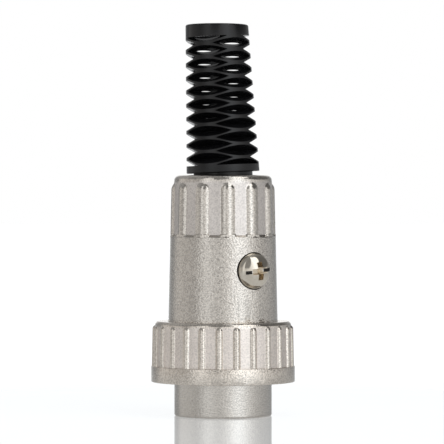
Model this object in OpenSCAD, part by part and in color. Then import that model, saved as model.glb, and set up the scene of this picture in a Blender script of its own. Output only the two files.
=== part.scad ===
// Five-pole circular cable plug with a screw coupling ring, standing on its mating skirt.
// Millimetres. Z is the plug's axis, Z = 0 is the skirt's mouth and -Y is the front.
// The key, the contacts and the cable clamp are all set out from the sleeve screw's direction.

/* [Mating face] */
// Outside diameter of the shield skirt
skirt_d = 13.2; // [12.8:0.1:13.6]
// Wall of the shield skirt
skirt_wall = 0.6; // [0.5:0.05:0.8]
// Depth of the skirt from its mouth to the contact insert
skirt_depth = 8.8; // [8:0.1:9.4]
// Rounding of the skirt's outer edge at the mouth
skirt_edge = 0.15; // [0.1:0.05:0.45]
// Width of the polarising key inside the skirt
key_w = 2.6; // [2:0.1:3]
// Height of the polarising key above the skirt's inside wall
key_h = 1; // [0.6:0.1:1.2]

/* [Contacts] */
// Number of contact pins
pin_count = 5; // [3:1:5]
// Angle from one pin to the next
pin_step = 45; // [45:5:60]
// Diameter of a contact pin
pin_d = 1.45; // [1.3:0.05:1.6]
// Diameter of the circle that the pins stand on
pin_circle_d = 7; // [6.6:0.1:7.1]
// Distance of the pin tips inside the skirt's mouth
pin_recess = 0.9; // [0.4:0.1:2]
// Diameter of a solder cup
cup_d = 1.8; // [1.7:0.05:1.9]
// Length of a solder cup behind the insert
cup_len = 3.6; // [3:0.1:4]
// Thickness of the contact insert's body
insert_t = 3.4; // [2.8:0.1:3.8]

/* [Coupling ring] */
// Nominal diameter of the coupling thread
thread_d = 16; // [15.8:0.1:16.4]
// Pitch of the coupling thread
thread_pitch = 0.75; // [0.5:0.25:1]
// Diameter of the plain band at the ring's mouth
ring_d = 19.5; // [19:0.1:20.4]
// Height of the ring up to the seat of the sleeve
ring_h = 8; // [7.4:0.1:8.6]
// Height of the ring's mouth above the skirt's mouth
ring_z = 4.6; // [4.2:0.1:5.4]
// Height of the plain band
band_h = 2.15; // [1.2:0.05:3]
// Thickness of the inner lip that keeps the ring on
lip_t = 1.7; // [1.2:0.1:2.2]
// Number of grip ribs round the ring
ring_ribs = 25; // [16:1:30]
// Width of the half-round rod that forms a ring rib
ring_rib_d = 1; // [0.8:0.05:1.2]
// Height of a ring rib above the ground between the ribs
ring_rib_h = 0.26; // [0.15:0.01:0.35]

/* [Rear sleeve] */
// Length of the sleeve
sleeve_len = 19.8; // [18.5:0.1:22]
// Wall of the sleeve at its front edge
sleeve_wall = 1.16; // [1:0.02:1.3]
// Casting draft of the sleeve, in degrees
sleeve_draft = 1.25; // [0.5:0.05:1.6]
// Length of the ribbed grip at the sleeve's end
grip_len = 8.2; // [6:0.05:9]
// Depth of the ground between the sleeve's ribs
grip_depth = 0.38; // [0.2:0.02:0.42]
// Number of grip ribs round the sleeve
sleeve_ribs = 12; // [8:1:16]
// Width of the half-round rod that forms a sleeve rib
sleeve_rib_d = 1.8; // [1.4:0.1:2]
// Rounding of the sleeve's end
end_round = 0.7; // [0.5:0.05:1.2]
// Thickness of the sleeve's end wall
end_wall = 1.3; // [1:0.1:1.6]

/* [Cable boot] */
// Length of the boot outside the sleeve
boot_len = 20; // [19.5:0.1:22]
// Outside diameter at the boot's base
boot_base_d = 9.9; // [9.6:0.1:10.4]
// Outside diameter at the boot's tip
boot_tip_d = 8.5; // [8.4:0.1:9]
// Bore for the cable
boot_bore_d = 7.2; // [6.6:0.1:7.4]
// Diameter of the neck that buttons into the sleeve
boot_neck_d = 8; // [7.8:0.1:8.2]
// Lean of the boot towards -X, in degrees
boot_lean = 2.4; // [0:0.2:3]
// Height of the plain collar at the base
base_collar = 1; // [0.8:0.05:1.2]
// Height of the plain collar at the tip
tip_collar = 1.65; // [1.4:0.05:2]
// Number of slot levels, each with three slots
slot_levels = 20; // [12:2:20]
// Height from one slot level to the next
slot_pitch = 0.9075; // [0.85:0.0025:0.91]

/* [Sleeve screw and cable clamp] */
// Direction of the sleeve screw, in degrees to the right of the front
screw_turn = 35; // [0:1:60]
// Thread diameter of the sleeve screw
screw_d = 2.5; // [2:0.1:2.6]
// Head diameter of the sleeve screw
screw_head_d = 5; // [4.6:0.1:5.2]
// Head height of the sleeve screw
screw_head_h = 2.1; // [1.6:0.1:2.4]
// Diameter of the cable's seat in the clamp
cable_d = 5; // [4:0.1:5.1]
// Thickness of the clamp strap
clamp_t = 0.8; // [0.6:0.05:0.85]
// Length of the clamp's saddle along the cable
saddle_len = 4.6; // [4:0.1:5]

/* [Clearances] */
// Radial gap of the turning ring on its neck
running_gap = 0.08; // [0.05:0.01:0.1]
// End play of the ring on each side of its lip
end_play = 0.12; // [0.08:0.01:0.2]
// Radial gap of parts that slide into each other and stay
slip_gap = 0.05; // [0.03:0.01:0.08]
// Radial gap of a screw in its thread and of a pin in its hole
thread_gap = 0.02; // [0.01:0.01:0.03]

/* [Hidden] */
$fn = 96;
cut = 1; // length by which a cutting shape runs past the face that it cuts

// Heights of the coupling ring and of what traps its lip
ring_top = ring_z + ring_h;
lip_z = ring_top - lip_t;
flange_t = 1.2;
flange_top = lip_z - end_play;
flange_z = flange_top - flange_t;
sleeve_z = ring_top + end_play;

// Radii from the coupling thread inwards: ring, flange, lip, neck, sleeve, spigot, insert
thread_minor_r = thread_d / 2 - 0.5413 * thread_pitch;
flange_gap = 0.1;
lip_overlap = 0.6;
neck_step = 0.56;
spigot_wall = 0.7;
seat_ledge = 0.5;
flange_r = thread_minor_r - flange_gap;
lip_bore_r = flange_r - lip_overlap;
neck_r = lip_bore_r - running_gap;
sleeve_bore_r = neck_r - neck_step;
spigot_r = sleeve_bore_r - slip_gap;
rear_bore_r = spigot_r - spigot_wall;
insert_r = rear_bore_r - slip_gap;
seat_hole_r = rear_bore_r - seat_ledge;
nose_r = seat_hole_r - slip_gap;
skirt_r = skirt_d / 2;
skirt_in_r = skirt_r - skirt_wall;
key_setback = 0.5;

// Heights inside, from the mouth upwards: seat, insert, chassis, saddle
seat_t = 0.8;
spigot_len = 2.8;
wire_room = 0.8;
insert_z = skirt_depth + seat_t;
chassis_z = insert_z + insert_t;
spigot_top = sleeve_z + spigot_len;
saddle_z = max(chassis_z + cup_len, spigot_top) + wire_room;
screw_z = saddle_z + saddle_len / 2;

// Coupling ring
band_r = ring_d / 2;
ring_draft = 1.08;
rib_sink = 0.1; // depth of a rib's crest under the plain surface that it runs into
ring_crest_r = band_r - rib_sink;
ring_band_z = ring_z + band_h;
ring_shoulder = 0.2; // distance of the shoulder, where the ground ends, below the sleeve's seat
ring_corner = 0.4;
ring_rim_gap = 0.1;
ring_rim_rise = 0.08; // height of the rim above the sleeve's front edge, which it hides
ring_rib_top_gap = 0.35; // distance of a rib's rounded end below the sleeve's seat
ring_edge = 0.15;
ring_rib_turn = -3.15;
entry_chamfer = thread_pitch / 2;
relief_h = 1.4;
relief_r = thread_d / 2 + slip_gap;

// Rear sleeve
sleeve_front_r = sleeve_bore_r + sleeve_wall;
sleeve_top = sleeve_z + sleeve_len;
grip_z = sleeve_top - grip_len;
sleeve_rib_turn = 6.2;
sleeve_rib_sink = 0.03;
sleeve_rib_top_gap = 0.65;
bore_narrowing = 0.55;
saddle_room = 1;
narrow_r = sleeve_bore_r - bore_narrowing;
narrow_z = saddle_z + saddle_len + saddle_room;

// Boot, along its own axis from the underside of its base collar
boot_neck_gap = 0.25;
boot_end_gap = 0.18;
boot_button_step = 0.9;
boot_button_t = 1;
boot_wall_play = 0.3;
boot_base_r = boot_base_d / 2;
boot_tip_r = boot_tip_d / 2;
boot_neck_r = boot_neck_d / 2;
boot_bore_r = boot_bore_d / 2;
boot_button_r = boot_neck_r + boot_button_step;
boot_stand = boot_base_r * sin(boot_lean) + boot_end_gap;
boot_neck_len = boot_stand + end_wall + boot_wall_play;
boot_trim = boot_tip_r * tan(boot_lean) + 0.1; // length left over the tip, then cut off level
slot_first = base_collar + 0.06;
slot_root = 0.725; // radius of a slot's root as a share of the boot's radius at that level
slot_angle = 56;
slot_turn = 34;

// Sleeve screw, clamp strap and their seats
spot_depth = 0.4;
spot_gap = 0.2;
screw_hole_gap = 0.15;
screw_tip_gap = 0.3;
screw_rim_h = 0.8;
recess_turn = 7;
recess_depth = 0.9;
slot_w = 0.62;
cross_len = 2.7;
cross_w = 0.8;
cross_depth = 1.5;
cable_r = cable_d / 2;
chassis_wall = 0.95;
saddle_drop = 0.8; // distance of the saddle's flat from the cable's middle
clamp_w = 3.2;
clamp_screw_d = 1.6;
clamp_head_d = 2.5;
clamp_head_h = 1;
clamp_grip = 1.7; // length of a clamp screw's thread inside the saddle
clamp_hole_rest = 0.2;
clamp_head_gap = 0.1;
clamp_screw_x = cable_r + clamp_t + clamp_head_d / 2 + clamp_head_gap;
clamp_end_x = clamp_screw_x + clamp_head_d / 2 - clamp_head_gap;
driver_slot_w = 0.4;
driver_slot_depth = 0.5;
rotation_key_w = 1.6;
rotation_key_h = 0.5;
pin_shank_step = 0.2;
pin_collar_step = 0.23;
pin_shank_r = pin_d / 2 + pin_shank_step;
pin_collar_r = pin_shank_r + pin_collar_step;
pin_collar_h = 0.6;
pin_tip = 0.35;
cup_bore_d = 1.25;
cup_depth = 2.4;

nickel = [0.72, 0.70, 0.67];
bright_steel = [0.86, 0.85, 0.83];
black_plastic = [0.06, 0.06, 0.065];
insert_plastic = [0.13, 0.13, 0.14];
silver_plate = [0.90, 0.89, 0.86];

// Points of an arc round a centre, from one angle to another
function arc(centre, r, from, to, steps = 8) =
    [for (i = [0:steps])
        let (a = from + (to - from) * i / steps)
        centre + r * [cos(a), sin(a)]];

// Outside radius of the sleeve's plain surface at a height
function sleeve_r(z) = sleeve_front_r - (z - sleeve_z) * tan(sleeve_draft);

// Outside radius of the boot at a height on its own axis
function boot_r(t) = boot_base_r + (boot_tip_r - boot_base_r) * t / boot_len;

// Direction of the saddle, the screw and the key: the child's -Y becomes the screw's direction
module screw_side() {
    rotate([0, 0, screw_turn]) children();
}

// Round rod with a ball end at the top
module grip_rod(d, len) {
    r = d / 2;
    rotate_extrude() {
        square([r, len - r]);
        intersection() {
            translate([0, len - r]) circle(r);
            translate([0, len - r]) square(r);
        }
    }
}

// Ring of rods whose crests follow a drafted surface, from a foot height to a top height
module grip_ribs(count, turn, d, crest_r, foot, top, draft) {
    for (i = [0:count - 1])
        rotate([0, 0, turn + i * 360 / count])
            translate([0, -crest_r, foot])
                rotate([-draft, 0, 0])
                    translate([0, d / 2, 0])
                        grip_rod(d, top - foot);
}

// One level's slot profile: a V that opens outwards, kept between the two collars
module slot_profile(t) {
    root = slot_root * boot_r(t);
    reach = boot_base_r + cut;
    rise = (reach - root) * tan(slot_angle / 2);
    intersection() {
        polygon([[root, t], [reach, t - rise], [reach, t + rise]]);
        translate([0, base_collar]) square([reach, boot_len - tip_collar - base_collar]);
    }
}

// Three slots of one level, set a third of a turn apart
module slot_level(t, turn) {
    for (i = [0:2])
        rotate([0, 0, turn + i * 120 - 90])
            rotate([90, 0, 0])
                linear_extrude(height = 2 * boot_base_r, center = true)
                    slot_profile(t);
}

module bend_relief_boot() {
    color(black_plastic)
        translate([0, 0, sleeve_top + boot_stand])
            rotate([0, -boot_lean, 0])
                difference() {
                    rotate_extrude()
                        polygon([
                            [boot_bore_r, -boot_neck_len - boot_button_t],
                            [boot_button_r, -boot_neck_len - boot_button_t],
                            [boot_button_r, -boot_neck_len],
                            [boot_neck_r, -boot_neck_len],
                            [boot_neck_r, 0],
                            [boot_base_r, 0],
                            [boot_r(boot_len + boot_trim), boot_len + boot_trim],
                            [boot_bore_r, boot_len + boot_trim]
                        ]);
                    translate([0, 0, boot_len])
                        rotate([0, boot_lean, 0])
                            translate([-boot_base_r, -boot_base_r, 0])
                                cube([boot_base_d, boot_base_d, 2 * boot_trim + cut]);
                    for (i = [0:slot_levels - 1])
                        slot_level(slot_first + i * slot_pitch, slot_turn + 60 * (i % 2));
                }
}

module rear_sleeve() {
    corner_z = sleeve_top - end_round;
    corner_r = sleeve_r(corner_z) - grip_depth - end_round;
    color(nickel)
        difference() {
            union() {
                rotate_extrude()
                    polygon(concat(
                        [[0, sleeve_z], [sleeve_front_r, sleeve_z], [sleeve_r(grip_z), grip_z],
                         [sleeve_r(grip_z) - grip_depth, grip_z]],
                        arc([corner_r, corner_z], end_round, 0, 90),
                        [[0, sleeve_top]]));
                grip_ribs(sleeve_ribs, sleeve_rib_turn, sleeve_rib_d,
                          sleeve_r(grip_z) - sleeve_rib_sink, grip_z,
                          sleeve_top - sleeve_rib_top_gap, sleeve_draft);
            }
            rotate_extrude()
                polygon([
                    [0, sleeve_z - cut], [sleeve_bore_r, sleeve_z - cut],
                    [sleeve_bore_r, narrow_z], [narrow_r, narrow_z + bore_narrowing],
                    [narrow_r, sleeve_top - end_wall],
                    [boot_neck_r + boot_neck_gap, sleeve_top - end_wall],
                    [boot_neck_r + boot_neck_gap, sleeve_top + cut],
                    [0, sleeve_top + cut]
                ]);
            screw_side()
                translate([0, 0, screw_z])
                    rotate([90, 0, 0]) {
                        cylinder(d = screw_d + 2 * screw_hole_gap, h = sleeve_front_r + cut);
                        translate([0, 0, sleeve_r(screw_z) - spot_depth])
                            cylinder(d = screw_head_d + 2 * spot_gap, h = spot_depth + cut);
                    }
        }
}

module sleeve_screw() {
    seat = sleeve_r(screw_z) - spot_depth;
    tip = cable_r + screw_tip_gap;
    head_r = screw_head_d / 2;
    dome_h = screw_head_h - screw_rim_h;
    dome_r = (head_r * head_r + dome_h * dome_h) / (2 * dome_h);
    color(bright_steel)
        screw_side()
            translate([0, 0, screw_z])
                rotate([90, 0, 0])
                    difference() {
                        rotate_extrude()
                            polygon(concat(
                                [[0, tip], [screw_d / 2, tip], [screw_d / 2, seat], [head_r, seat]],
                                arc([0, seat + screw_head_h - dome_r], dome_r,
                                    90 - asin(head_r / dome_r), 90)));
                        rotate([0, 0, recess_turn]) {
                            translate([-head_r - cut, -slot_w / 2, seat + screw_head_h - recess_depth])
                                cube([screw_head_d + 2 * cut, slot_w, recess_depth + cut]);
                            for (turn = [0, 90])
                                rotate([0, 0, turn])
                                    translate([-cross_len / 2, -cross_w / 2,
                                               seat + screw_head_h - cross_depth])
                                        cube([cross_len, cross_w, cross_depth + cut]);
                        }
                    }
}

module coupling_ring() {
    ground_r = ring_crest_r - ring_rib_h;
    shoulder_z = ring_top - ring_shoulder;
    ground_top_r = ground_r - (shoulder_z - ring_band_z) * tan(ring_draft);
    rim_r = sleeve_front_r + ring_rim_gap;
    color(nickel)
        difference() {
            union() {
                rotate_extrude()
                    polygon([
                        [0, ring_z], [band_r - ring_edge, ring_z], [band_r, ring_z + ring_edge],
                        [band_r, ring_band_z], [ground_r, ring_band_z],
                        [ground_top_r, shoulder_z],
                        [ground_top_r - ring_corner, shoulder_z + ring_corner],
                        [rim_r, sleeve_z + ring_rim_rise], [rim_r, ring_top], [0, ring_top]
                    ]);
                grip_ribs(ring_ribs, ring_rib_turn, ring_rib_d, ring_crest_r, ring_band_z,
                          ring_top - ring_rib_top_gap, ring_draft);
            }
            rotate_extrude()
                polygon([
                    [0, ring_z - cut], [thread_minor_r + entry_chamfer, ring_z - cut],
                    [thread_minor_r + entry_chamfer, ring_z],
                    [thread_minor_r, ring_z + entry_chamfer],
                    [thread_minor_r, lip_z - relief_h], [relief_r, lip_z - relief_h],
                    [relief_r, lip_z], [lip_bore_r, lip_z],
                    [lip_bore_r, ring_top + cut], [0, ring_top + cut]
                ]);
        }
}

// Rib on the shell's bore that stops the insert and the chassis from turning
module rotation_key(gap) {
    translate([-rotation_key_w / 2 - gap, -rear_bore_r - slip_gap, insert_z])
        cube([rotation_key_w + 2 * gap, rotation_key_h + slip_gap + gap, spigot_top - insert_z]);
}

module front_shell() {
    color(nickel) {
        rotate_extrude()
            polygon(concat(
                [[skirt_in_r, 0]],
                arc([skirt_r - skirt_edge, skirt_edge], skirt_edge, -90, 0, 4),
                [[skirt_r, flange_z], [flange_r, flange_z], [flange_r, flange_top],
                 [neck_r, flange_top], [neck_r, sleeve_z], [spigot_r, sleeve_z],
                 [spigot_r, spigot_top], [rear_bore_r, spigot_top], [rear_bore_r, insert_z],
                 [seat_hole_r, insert_z], [seat_hole_r, skirt_depth], [skirt_in_r, skirt_depth]]));
        screw_side() {
            rotation_key(0);
            intersection() {
                translate([-key_w / 2, -skirt_r, key_setback])
                    cube([key_w, skirt_wall + key_h, skirt_depth - key_setback]);
                cylinder(r = skirt_in_r + skirt_wall / 2, h = skirt_depth);
            }
        }
    }
}

// Places of the pins: an arc of the pin circle opposite the polarising key
module pin_place(number) {
    screw_side()
        rotate([0, 0, (number - (pin_count + 1) / 2) * pin_step])
            translate([0, pin_circle_d / 2, 0])
                children();
}

module contact_insert() {
    color(insert_plastic)
        difference() {
            rotate_extrude()
                polygon([
                    [0, skirt_depth], [nose_r, skirt_depth], [nose_r, insert_z],
                    [insert_r, insert_z], [insert_r, chassis_z], [0, chassis_z]
                ]);
            screw_side() rotation_key(slip_gap);
            for (number = [1:pin_count])
                pin_place(number) {
                    translate([0, 0, skirt_depth - cut])
                        cylinder(r = pin_shank_r + thread_gap, h = chassis_z - skirt_depth + 2 * cut);
                    translate([0, 0, chassis_z - pin_collar_h])
                        cylinder(r = pin_collar_r + thread_gap, h = pin_collar_h + cut);
                }
        }
}

// Turned pin with a shank and collar in the insert, and a solder cup cut open on its outer side
module contact_pin(number) {
    cup_r = cup_d / 2;
    cup_top = chassis_z + cup_len;
    color(silver_plate)
        pin_place(number)
            difference() {
                rotate_extrude()
                    polygon([
                        [0, pin_recess], [pin_d / 2 - pin_tip, pin_recess],
                        [pin_d / 2, pin_recess + pin_tip], [pin_d / 2, skirt_depth],
                        [pin_shank_r, skirt_depth], [pin_shank_r, chassis_z - pin_collar_h],
                        [pin_collar_r, chassis_z - pin_collar_h], [pin_collar_r, chassis_z],
                        [cup_r, chassis_z], [cup_r, cup_top], [0, cup_top]
                    ]);
                translate([0, 0, cup_top - cup_depth])
                    cylinder(d = cup_bore_d, h = cup_depth + cut);
                translate([-cup_r - cut, cup_r / 3, cup_top - cup_depth + cup_r])
                    cube([cup_d + 2 * cut, cup_d, cup_depth]);
            }
}

module clamp_chassis() {
    ring_r = rear_bore_r - thread_gap;
    ring_in_r = ring_r - chassis_wall;
    saddle_r = sleeve_bore_r - slip_gap;
    saddle_top = saddle_z + saddle_len;
    color(nickel)
        screw_side()
            difference() {
                union() {
                    translate([0, 0, chassis_z])
                        cylinder(r = ring_r, h = spigot_top - chassis_z);
                    intersection() {
                        translate([0, 0, spigot_top])
                            cylinder(r = saddle_r, h = saddle_top - spigot_top);
                        translate([-saddle_r, -saddle_r - cut, spigot_top])
                            cube([2 * saddle_r, saddle_r + cut - saddle_drop, saddle_top - spigot_top]);
                    }
                }
                translate([0, 0, chassis_z - cut])
                    cylinder(r = ring_in_r, h = saddle_z - chassis_z + cut);
                cylinder(r = cable_r, h = saddle_top + cut);
                rotation_key(slip_gap);
                translate([0, 0, screw_z])
                    rotate([90, 0, 0])
                        cylinder(d = screw_d + 2 * thread_gap, h = saddle_r + cut);
                for (side = [-1, 1])
                    translate([side * clamp_screw_x, cut - saddle_drop, screw_z])
                        rotate([90, 0, 0])
                            cylinder(d = clamp_screw_d + 2 * thread_gap,
                                     h = cut + clamp_grip + clamp_hole_rest);
            }
}

module cable_clamp() {
    color(bright_steel)
        screw_side()
            difference() {
                translate([0, 0, screw_z - clamp_w / 2])
                    linear_extrude(height = clamp_w)
                        difference() {
                            union() {
                                circle(cable_r + clamp_t);
                                translate([-clamp_end_x, -saddle_drop])
                                    square([2 * clamp_end_x, clamp_t]);
                            }
                            circle(cable_r);
                            translate([-clamp_end_x, -saddle_drop - 2 * cable_r])
                                square([2 * clamp_end_x, 2 * cable_r]);
                        }
                for (side = [-1, 1])
                    translate([side * clamp_screw_x, clamp_t, screw_z])
                        rotate([90, 0, 0])
                            cylinder(d = clamp_screw_d + 2 * screw_hole_gap, h = 2 * clamp_t + cut);
            }
}

// Slotted screw of the cable clamp, on one side of the cable
module clamp_screw(side) {
    under_head = clamp_t - saddle_drop;
    color(bright_steel)
        screw_side()
            translate([side * clamp_screw_x, under_head, screw_z])
                rotate([-90, 0, 0])
                    difference() {
                        union() {
                            cylinder(d = clamp_head_d, h = clamp_head_h);
                            translate([0, 0, -clamp_t - clamp_grip])
                                cylinder(d = clamp_screw_d, h = clamp_t + clamp_grip);
                        }
                        translate([-clamp_head_d, -driver_slot_w / 2, clamp_head_h - driver_slot_depth])
                            cube([2 * clamp_head_d, driver_slot_w, driver_slot_depth + cut]);
                    }
}

bend_relief_boot();
rear_sleeve();
sleeve_screw();
coupling_ring();
front_shell();
contact_insert();
contact_pin(1);  // contact_pin_1
contact_pin(2);  // contact_pin_2
contact_pin(3);  // contact_pin_3
contact_pin(4);  // contact_pin_4
contact_pin(5);  // contact_pin_5
clamp_chassis();
cable_clamp();
clamp_screw(-1);  // clamp_screw_left
clamp_screw(1);  // clamp_screw_right
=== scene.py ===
from math import atan2, cos, pi, radians, sin, sqrt, tan

import bmesh
import bpy
from mathutils import Matrix, Vector


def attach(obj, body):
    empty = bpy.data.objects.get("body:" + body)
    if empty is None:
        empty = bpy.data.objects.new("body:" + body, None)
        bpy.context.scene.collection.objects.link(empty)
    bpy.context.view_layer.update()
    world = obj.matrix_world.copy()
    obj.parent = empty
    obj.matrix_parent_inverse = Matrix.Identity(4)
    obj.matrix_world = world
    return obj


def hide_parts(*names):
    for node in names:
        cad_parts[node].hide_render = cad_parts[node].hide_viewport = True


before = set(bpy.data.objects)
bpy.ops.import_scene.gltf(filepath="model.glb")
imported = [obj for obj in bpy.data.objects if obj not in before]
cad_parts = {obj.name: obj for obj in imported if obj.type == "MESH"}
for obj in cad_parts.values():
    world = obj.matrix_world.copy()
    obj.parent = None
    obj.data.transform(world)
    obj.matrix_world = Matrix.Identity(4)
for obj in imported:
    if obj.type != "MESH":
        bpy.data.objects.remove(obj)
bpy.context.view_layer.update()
scene = bpy.context.scene
scene.view_settings.view_transform = "Standard"


# Front shell: the tube that the plug stands on, with the flange and neck that carry the ring.
# A zinc die casting, tumbled and plated with satin nickel; the polarising key is cast inside.
MM = 0.001
WELD = 1e-7
# The key, the middle pin and the sleeve's screw lie in one plane, turned from the front.
SCREW_TURN = radians(35)
SKIRT_R, SKIRT_BORE_R = 6.6, 6.0
FLANGE_R, FLANGE_FOOT, FLANGE_TOP = 7.494, 9.58, 10.78
NECK_R, NECK_TOP = 6.814, 12.72
SPIGOT_R, SPIGOT_BORE_R, SPIGOT_TOP = 6.204, 5.504, 15.52
LEDGE_R, LEDGE_FOOT, LEDGE_TOP = 5.004, 8.8, 9.6
KEY_WIDTH, KEY_DEPTH, KEY_MIDDLE, KEY_EDGE = 2.6, 1.3, 5.65, 0.12
KEY_FOOT, KEY_TOP = 0.5, 9.0
STOP_WIDTH, STOP_DEPTH, STOP_MIDDLE = 1.6, 0.75, 5.38
STOP_FOOT, STOP_TOP = 9.3, 15.48
NICKEL_DARK, NICKEL_LIGHT = (0.66, 0.62, 0.565), (0.69, 0.65, 0.595)
SPECK_DARK, SPECK_LIGHT = 0.85, 1.07
RIB_SPECK_DARK, RIB_SPECK_LIGHT, RIB_PITTING = 0.78, 1.11, 0.4
# The first is painted light: it makes the ground between the ribs lighter than the ribs.
GROUND_PAINTED_LIGHT, GROUND_MATT = (0.2, 0.2, 0.24), 0.32
skirt_outline = [
    (SKIRT_BORE_R, 0), (SKIRT_R, 0), (SKIRT_R, FLANGE_FOOT), (FLANGE_R, FLANGE_FOOT),
    (FLANGE_R, FLANGE_TOP), (NECK_R, FLANGE_TOP), (NECK_R, NECK_TOP), (SPIGOT_R, NECK_TOP),
    (SPIGOT_R, SPIGOT_TOP), (SPIGOT_BORE_R, SPIGOT_TOP), (SPIGOT_BORE_R, LEDGE_TOP),
    (LEDGE_R, LEDGE_TOP), (LEDGE_R, LEDGE_FOOT), (SKIRT_BORE_R, LEDGE_FOOT),
]
skirt_rounding = [0.12, 0.24, 0.1, 0.12, 0.12, 0.1, 0.1, 0.1, 0.15, 0.15, 0, 0.08, 0.08, 0.2]


def turn_outline(outline, rounding, steps, segments=4, sectors=8):
    """Mesh turned about Z from a closed outline of (radius, height), with rounded corners.

    One sector is spun and then repeated round the axis.
    """
    bm = bmesh.new()
    corners = [bm.verts.new((r * MM, 0, z * MM)) for r, z in outline]
    bm.faces.new(corners)
    for size in sorted(set(rounding) - {0}):
        bmesh.ops.bevel(bm, geom=[v for v, s in zip(corners, rounding) if s == size],
                        offset=size * MM, offset_type="ABSOLUTE", affect="VERTICES",
                        segments=segments, profile=0.5, material=-1)
    bmesh.ops.delete(bm, geom=bm.faces[:], context="FACES_ONLY")
    on_axis = [e for e in bm.edges if all(v.co.x < WELD for v in e.verts)]
    bmesh.ops.delete(bm, geom=on_axis, context="EDGES")
    bmesh.ops.spin(bm, geom=bm.verts[:] + bm.edges[:], cent=(0, 0, 0), axis=(0, 0, 1),
                   angle=2 * pi / sectors, steps=steps // sectors)
    sector = bm.verts[:] + bm.edges[:] + bm.faces[:]
    for i in range(1, sectors):
        copied = bmesh.ops.duplicate(bm, geom=sector)["geom"]
        bmesh.ops.rotate(bm, cent=(0, 0, 0), matrix=Matrix.Rotation(2 * pi * i / sectors, 3, "Z"),
                         verts=[v for v in copied if isinstance(v, bmesh.types.BMVert)])
    bmesh.ops.remove_doubles(bm, verts=bm.verts[:], dist=WELD)
    bmesh.ops.recalc_face_normals(bm, faces=bm.faces[:])
    return bm


def bar(width, depth, middle, foot, top, turn=0.0, rounding=0.0):
    """Upright bar with rounded edges, set out along Y from the axis and turned about Z."""
    bm = bmesh.new()
    bmesh.ops.create_cube(bm, size=1)
    bmesh.ops.scale(bm, vec=(width * MM, depth * MM, (top - foot) * MM), verts=bm.verts[:])
    if rounding:
        bmesh.ops.bevel(bm, geom=bm.edges[:], offset=rounding * MM, offset_type="OFFSET",
                        affect="EDGES", segments=3, profile=0.5, material=-1)
    bmesh.ops.translate(bm, vec=(0, middle * MM, (foot + top) / 2 * MM), verts=bm.verts[:])
    bmesh.ops.rotate(bm, cent=(0, 0, 0), matrix=Matrix.Rotation(turn, 3, "Z"), verts=bm.verts[:])
    return bm


def shade(bm, sharp):
    """Smooth faces, creased at the edges that bend by more than an angle in degrees."""
    for face in bm.faces:
        face.smooth = True
    for edge in bm.edges:
        edge.smooth = len(edge.link_faces) == 2 and edge.calc_face_angle(0) < radians(sharp)


def to_object(name, bm, sharp=40):
    """Object from a finished mesh, smooth apart from its sharp edges."""
    shade(bm, sharp)
    mesh = bpy.data.meshes.new(name)
    bm.to_mesh(mesh)
    bm.free()
    piece = bpy.data.objects.new(name, mesh)
    scene.collection.objects.link(piece)
    return piece


def carve(piece, tools, operation="DIFFERENCE", sharp=40):
    """Cuts other closed meshes out of a piece, or joins them to it, one after the other."""
    for tool in tools:
        cutter = to_object(piece.name + "_cutter", tool)
        boolean = piece.modifiers.new("carve", "BOOLEAN")
        boolean.operation = operation
        boolean.solver = "EXACT"
        boolean.object = cutter
        evaluated = piece.evaluated_get(bpy.context.evaluated_depsgraph_get())
        carved = bpy.data.meshes.new_from_object(evaluated)
        piece.modifiers.clear()
        old = piece.data
        piece.data = carved
        bpy.data.meshes.remove(old)
        bpy.data.objects.remove(cutter)
    bm = bmesh.new()
    bm.from_mesh(piece.data)
    bmesh.ops.remove_doubles(bm, verts=bm.verts[:], dist=WELD)
    bmesh.ops.dissolve_degenerate(bm, edges=bm.edges[:], dist=WELD)
    shade(bm, sharp)
    bm.to_mesh(piece.data)
    bm.free()
    piece.data.name = piece.name


def settle(piece, material, slot, body, *nodes):
    """Gives a piece its finish, its body and the solids that it stands for."""
    piece.data.materials.clear()
    piece.data.materials.append(material)
    even = piece.modifiers.new("even_shading", "WEIGHTED_NORMAL")
    even.keep_sharp = True
    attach(piece, body)
    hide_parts(*nodes)


def add_node(material, kind, *inputs, **values):
    """Node of a material, with properties by name and inputs in order or by name.

    An input takes a constant or another node's output.
    """
    node = material.node_tree.nodes.new("ShaderNode" + kind)
    for key in [key for key in values if key in node.bl_rna.properties]:
        setattr(node, key, values.pop(key))
    fed = list(zip(node.inputs, inputs)) + [(node.inputs[key], values[key]) for key in values]
    for socket, value in fed:
        if isinstance(value, bpy.types.NodeSocket):
            material.node_tree.links.new(value, socket)
        else:
            socket.default_value = value
    return node


def noise(material, place, scale, detail, roughness=0.5):
    """Cloudy pattern at a place, as an output from 0 to 1."""
    return add_node(material, "TexNoise", Vector=place, Scale=scale, Detail=detail,
                    Roughness=roughness).outputs["Fac"]


def spread(material, value, start, end, low=0.0, high=1.0, shape="LINEAR"):
    """Output that runs from low to high while a value runs from start to end."""
    return add_node(material, "MapRange", value, start, end, low, high,
                    interpolation_type=shape).outputs["Result"]


def calc(material, operation, *terms, **values):
    """Output of one sum on numbers."""
    return add_node(material, "Math", *terms, operation=operation, **values).outputs["Value"]


def vector_calc(material, operation, *terms, result="Vector", **values):
    """Output of one sum on vectors or colours."""
    return add_node(material, "VectorMath", *terms, operation=operation, **values).outputs[result]


def two_tones(material, value, start, dark, end, light, tone=(1, 1, 1)):
    """Tinted colour that goes from dark to light while a value runs from start to end."""
    node = add_node(material, "ValToRGB", Fac=value)
    for stop, position, colour in zip(node.color_ramp.elements, (start, end), (dark, light)):
        stop.position = position
        stop.color = (*[level * share for level, share in zip(colour, tone)], 1)
    return node.outputs["Color"]


def new_material(name, metallic):
    """Material with one principled shader, and its coordinates on the object."""
    material = bpy.data.materials.new(name)
    material.use_nodes = True
    material.node_tree.nodes["Principled BSDF"].inputs["Metallic"].default_value = metallic
    return material, add_node(material, "TexCoord").outputs["Object"]


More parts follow.
